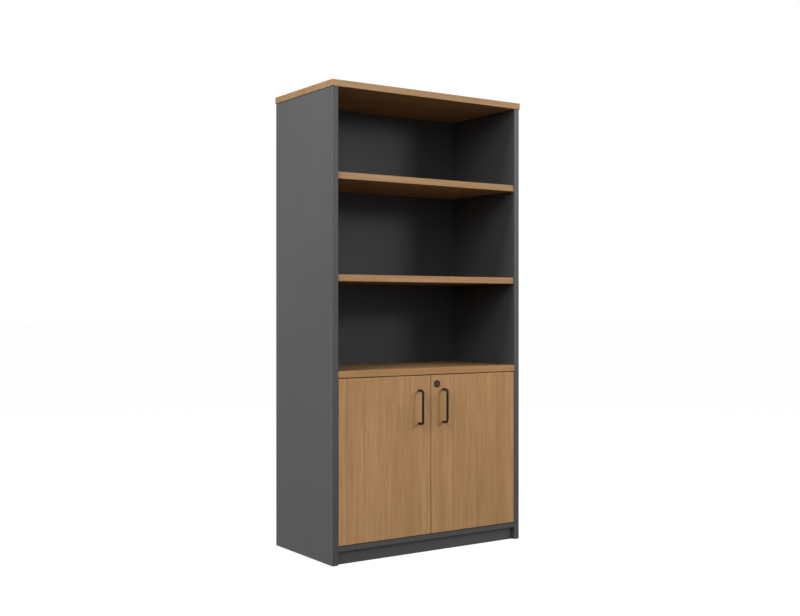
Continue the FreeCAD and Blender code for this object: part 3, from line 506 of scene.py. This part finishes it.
def skin(work, rings):
    """Walls between each ring of corners and the next."""
    for ring, following in zip(rings, rings[1:]):
        for index, corner in enumerate(ring):
            work.faces.new((ring[index - 1], corner, following[index], following[index - 1]))


def make_piece(work, name, body, material):
    """Turns a worked mesh into a piece that rides on a body."""
    bmesh.ops.recalc_face_normals(work, faces=work.faces)
    mesh = bpy.data.meshes.new(name)
    work.to_mesh(mesh)
    work.free()
    for polygon in mesh.polygons:
        polygon.use_smooth = True
    mesh.set_sharp_from_angle(angle=SMOOTH_BELOW)
    mesh.materials.append(material)
    piece = bpy.data.objects.new(name, mesh)
    bpy.context.scene.collection.objects.link(piece)
    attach(piece, body)
    return piece


# ---------------------------------------------------------------- screws with round heads and cross recesses

X_AXIS, Y_AXIS, Z_AXIS = range(3)
# node, axis of its screws, which way along it the heads look, length of the screws' points
SCREW_NODES = (
    ("left_handle_screws", Y_AXIS, 1, 0.0006),
    ("right_handle_screws", Y_AXIS, 1, 0.0006),
    ("left_hinge_cup_screws", Y_AXIS, 1, 0.0030),
    ("right_hinge_cup_screws", Y_AXIS, 1, 0.0030),
    ("left_hinge_plate_screws", X_AXIS, 1, 0.0020),
    ("right_hinge_plate_screws", X_AXIS, -1, 0.0020),
    ("left_hinge_arm_screws", X_AXIS, 1, 0.0006),
    ("right_hinge_arm_screws", X_AXIS, -1, 0.0006),
    ("lock_cam_screw", Y_AXIS, 1, 0.0006),
    ("lock_keeper_screws", Z_AXIS, -1, 0.0030),
)
# head radius, head height, shank radius, length, point of the wood screws in the bolt's plate
PLATE_SCREW = (0.0026, 0.0016, 0.0014, 0.0115, 0.0030)
PLATE_SCREW_ACROSS = 0.010
PLATE_SCREW_LEVELS = (0.019, 0.029)
PLATE_SHEET = 0.0015

# a CAD screw's corners further out than this share of its head are on the head
HEAD_SHARE = 0.9
# a CAD screw's shank has six sides, whose flats lie this share of a corner's distance from its axis
SHANK_FLATS = cos(pi / 6)
SIDES = 24
CROWN_STEPS = 5
# radians from one recess to the next
TURN_STEP = 2.4
# radii as shares of the shank's or the head's
TIP = 0.25
SEAT = 0.95
FLAT_TOP = 0.56
# levels as shares of the head's height
RIM_FROM = 0.12
RIM_TO = 0.30
RECESS_FLOOR = 0.25
# half a cross's length and half its width, as shares of the head's radius, at its mouth and its floor
RECESS_MOUTH_CROSS = (0.50, 0.115)
RECESS_FLOOR_CROSS = (0.24, 0.090)


def solids_of(node_name):
    """The corners of each separate solid of a CAD node."""
    work = bmesh.new()
    work.from_mesh(frame["nodes"][node_name].data)
    bmesh.ops.remove_doubles(work, verts=work.verts, dist=WELD)
    groups = []
    seen = set()
    for start in work.verts:
        if start in seen:
            continue
        seen.add(start)
        reached = [start]
        for corner in reached:
            for edge in corner.link_edges:
                other = edge.other_vert(corner)
                if other not in seen:
                    seen.add(other)
                    reached.append(other)
        groups.append([corner.co.copy() for corner in reached])
    work.free()
    return groups


def measured_screw(corners, axis, look):
    """Seat, head radius, head height, shank radius and length of a CAD screw."""
    spans = [(min(values), max(values)) for values in zip(*corners)]
    seat = Vector((low + high) / 2 for low, high in spans)
    heights = [corner[axis] * look for corner in corners]
    radii = []
    for corner in corners:
        offset = corner - seat
        offset[axis] = 0.0
        radii.append(offset.length)
    head = max(radii)
    seat_height = min(height for height, radius in zip(heights, radii) if radius > HEAD_SHARE * head)
    shank = max(radius for height, radius in zip(heights, radii) if height < seat_height - WELD)
    seat[axis] = seat_height * look
    return seat, head, max(heights) - seat_height, shank * SHANK_FLATS, seat_height - min(heights)


def cross_outline(arm, half_width):
    """The twelve corners of a cross, anticlockwise."""
    quarter = ((arm, -half_width), (arm, half_width), (half_width, half_width))
    corners = []
    for turn in range(4):
        spin = Matrix.Rotation(turn * pi / 2, 2)
        corners += [spin @ Vector(corner) for corner in quarter]
    return corners


def add_screw(work, place, head, high, shank, length, point):
    """A pan-head screw along Z with its seat at Z = 0 and a cross recess in its crown, moved to its place."""
    flat = head * FLAT_TOP
    profile = [(-length, shank * TIP), (point - length, shank), (0.0, shank),
               (0.0, head * SEAT), (high * RIM_FROM, head), (high * RIM_TO, head)]
    for step in range(1, CROWN_STEPS + 1):
        angle = pi / 2 * step / CROWN_STEPS
        level = high * (RIM_TO + (1 - RIM_TO) * sin(angle))
        profile.append((level, flat + (head - flat) * cos(angle)))
    turns = [2 * pi * index / SIDES for index in range(SIDES)]
    rings = []
    for level, radius in profile:
        corners = [Vector((radius * cos(turn), radius * sin(turn), level)) for turn in turns]
        rings.append([work.verts.new(place @ corner) for corner in corners])
    skin(work, rings)
    work.faces.new(rings[0])

    recess = []
    for level, (arm, half_width) in ((high, RECESS_MOUTH_CROSS), (high * RECESS_FLOOR, RECESS_FLOOR_CROSS)):
        outline = cross_outline(head * arm, head * half_width)
        recess.append([work.verts.new(place @ Vector((x, y, level))) for x, y in outline])
    skin(work, recess)
    work.faces.new(recess[1])
    rim = []
    for loop in (rings[-1], recess[0]):
        rim += [work.edges.get((loop[index - 1], loop[index])) for index in range(len(loop))]
    bmesh.ops.triangle_fill(work, use_beauty=True, edges=rim)


def placed(seat, axis, look, turn):
    """The matrix that stands a screw on its seat, its head looking along the axis and its recess turned."""
    direction = Vector((0.0, 0.0, 0.0))
    direction[axis] = look
    upright = direction.to_track_quat("Z", "X").to_matrix().to_4x4()
    return Matrix.Translation(seat) @ upright @ Matrix.Rotation(turn, 4, "Z")


def make_screws(material):
    """Puts a recessed screw in place of each CAD screw, and adds the four of the bolt's plate."""
    turn = 0.0
    for node_name, axis, look, point in SCREW_NODES:
        work = bmesh.new()
        for corners in solids_of(node_name):
            seat, *sizes = measured_screw(corners, axis, look)
            turn += TURN_STEP
            add_screw(work, placed(seat, axis, look, turn), *sizes, point)
        piece = make_piece(work, node_name + "_recessed", body_with(node_name), material)
        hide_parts(node_name)

    low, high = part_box("door_bolt_bracket")
    middle = (low.x + high.x) / 2
    work = bmesh.new()
    for side in (-1, 1):
        for level in PLATE_SCREW_LEVELS:
            seat = Vector((middle + side * PLATE_SCREW_ACROSS, low.y + PLATE_SHEET, low.z + level))
            turn += TURN_STEP
            add_screw(work, placed(seat, Y_AXIS, 1, turn), *PLATE_SCREW)
    make_piece(work, "door_bolt_plate_screws", body_with("door_bolt_bracket"), material)


# ---------------------------------------------------------------- round handles

HANDLE_PITCH = 0.128
HANDLE_BEND = 0.010
HANDLE_BORE = 0.0020
HANDLE_BORE_DEPTH = 0.010
BAR_SIDES = 32
BEND_STEPS = 10


def make_handle(node_name, material):
    """A round bar bent to a bow, with a screw hole up each foot, in place of the few-sided CAD bar."""
    low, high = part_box(node_name)
    across = (low.x + high.x) / 2
    middle = (low.z + high.z) / 2
    bar_radius = (high.x - low.x) / 2
    foot = high.y
    grip = low.y + bar_radius
    # depth, level, the way that the bow's outside looks as an angle from +Y towards +Z, radius
    path = [(foot - HANDLE_BORE_DEPTH, -HANDLE_PITCH / 2, -pi / 2, HANDLE_BORE),
            (foot, -HANDLE_PITCH / 2, -pi / 2, HANDLE_BORE),
            (foot, -HANDLE_PITCH / 2, -pi / 2, bar_radius)]
    for side, first_angle in ((-1, -pi / 2), (1, -pi)):
        for step in range(BEND_STEPS + 1):
            angle = first_angle - pi / 2 * step / BEND_STEPS
            depth = grip + HANDLE_BEND * (1 + cos(angle))
            level = side * (HANDLE_PITCH / 2 - HANDLE_BEND) + HANDLE_BEND * sin(angle)
            path.append((depth, level, angle, bar_radius))
    path += [(depth, -level, pi / 2, radius) for depth, level, _, radius in reversed(path[:3])]

    work = bmesh.new()
    turns = [2 * pi * index / BAR_SIDES for index in range(BAR_SIDES)]
    sideways = Vector((1.0, 0.0, 0.0))
    rings = []
    for depth, level, angle, radius in path:
        centre = Vector((across, depth, middle + level))
        outward = Vector((0.0, cos(angle), sin(angle)))
        spokes = [cos(turn) * sideways + sin(turn) * outward for turn in turns]
        rings.append([work.verts.new(centre + radius * spoke) for spoke in spokes])
    skin(work, rings)
    work.faces.new(rings[0])
    work.faces.new(rings[-1])
    piece = make_piece(work, node_name + "_bow", body_with(node_name), material)
    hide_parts(node_name)


# ---------------------------------------------------------------- floor, world, lamps, camera

def seen_directly(tree):
    """1 for the camera and for rays that metal and glass send out, else 0."""
    path = tree.nodes.new("ShaderNodeLightPath")
    total = path.outputs["Is Camera Ray"]
    for name in ("Is Glossy Ray", "Is Transmission Ray"):
        add = tree.nodes.new("ShaderNodeMath")
        add.operation = "MAXIMUM"
        tree.links.new(total, add.inputs[0])
        tree.links.new(path.outputs[name], add.inputs[1])
        total = add.outputs[0]
    return total


def make_floor():
    """A wide floor that is white where it is seen and lights nothing."""
    half = FLOOR_HALF_SIZE
    corners = [(-half, -half, -FLOOR_DROP), (half, -half, -FLOOR_DROP),
               (half, half, -FLOOR_DROP), (-half, half, -FLOOR_DROP)]
    mesh = bpy.data.meshes.new("floor")
    mesh.from_pydata(corners, [], [(0, 1, 2, 3)])
    floor = bpy.data.objects.new("floor", mesh)
    bpy.context.scene.collection.objects.link(floor)

    material = bpy.data.materials.new("pale_floor")
    material.use_nodes = True
    tree = material.node_tree
    shader = tree.nodes["Principled BSDF"]
    shader.inputs["Base Color"].default_value = (*FLOOR_COLOUR, 1.0)
    shader.inputs["Roughness"].default_value = FLOOR_ROUGHNESS
    shader.inputs["Specular IOR Level"].default_value = 0.0
    shader.inputs["Emission Color"].default_value = (*SOFT_WHITE, 1.0)
    glow = tree.nodes.new("ShaderNodeMath")
    glow.operation = "MULTIPLY"
    tree.links.new(seen_directly(tree), glow.inputs[0])
    glow.inputs[1].default_value = FLOOR_GLOW
    tree.links.new(glow.outputs[0], shader.inputs["Emission Strength"])
    mesh.materials.append(material)


def make_world():
    """Even light from the horizon upwards, fading to none overhead, and white where it is seen."""
    world = bpy.data.worlds.new("studio")
    bpy.context.scene.world = world
    world.use_nodes = True
    tree = world.node_tree
    background = tree.nodes["Background"]
    background.inputs["Color"].default_value = (*SOFT_WHITE, 1.0)
    direction = tree.nodes.new("ShaderNodeTexCoord")
    parts = tree.nodes.new("ShaderNodeSeparateXYZ")
    tree.links.new(direction.outputs["Generated"], parts.inputs[0])
    fade = tree.nodes.new("ShaderNodeMapRange")
    fade.inputs["From Min"].default_value = WORLD_FADES_TO
    fade.inputs["From Max"].default_value = WORLD_FADES_FROM
    fade.inputs["To Max"].default_value = WORLD_STRENGTH
    tree.links.new(parts.outputs["Z"], fade.inputs["Value"])
    strength = tree.nodes.new("ShaderNodeMapRange")
    tree.links.new(fade.outputs[0], strength.inputs["To Min"])
    strength.inputs["To Max"].default_value = 1.0
    tree.links.new(seen_directly(tree), strength.inputs["Value"])
    tree.links.new(strength.outputs[0], background.inputs["Strength"])


def aim(thing, place, target):
    thing.location = place
    thing.rotation_euler = (Vector(target) - Vector(place)).to_track_quat("-Z", "Y").to_euler()


def make_lamps():
    for name, place, target, width, height, power in LAMPS:
        lamp = bpy.data.lights.new(name, "AREA")
        lamp.shape = "RECTANGLE"
        lamp.size = width
        lamp.size_y = height
        lamp.energy = power
        holder = bpy.data.objects.new(name, lamp)
        bpy.context.scene.collection.objects.link(holder)
        aim(holder, place, target)


def make_camera():
    camera = bpy.data.cameras.new("camera")
    camera.lens = CAMERA_LENS
    camera.sensor_width = SENSOR_WIDTH
    camera.sensor_fit = "HORIZONTAL"
    camera.clip_start = CAMERA_NEAR
    camera.clip_end = CAMERA_FAR
    holder = bpy.data.objects.new("camera", camera)
    bpy.context.scene.collection.objects.link(holder)
    holder.location = CAMERA_PLACE
    holder.rotation_euler = (radians(90.0 + CAMERA_PITCH), 0.0, radians(CAMERA_YAW))
    bpy.context.scene.camera = holder


metals = dress_all()
make_screws(metals["screw_steel"])
make_handle("left_handle", metals["black_metal"])
make_handle("right_handle", metals["black_metal"])
make_floor()
make_world()
make_lamps()
make_camera()
bpy.context.scene.view_settings.view_transform = "Standard"
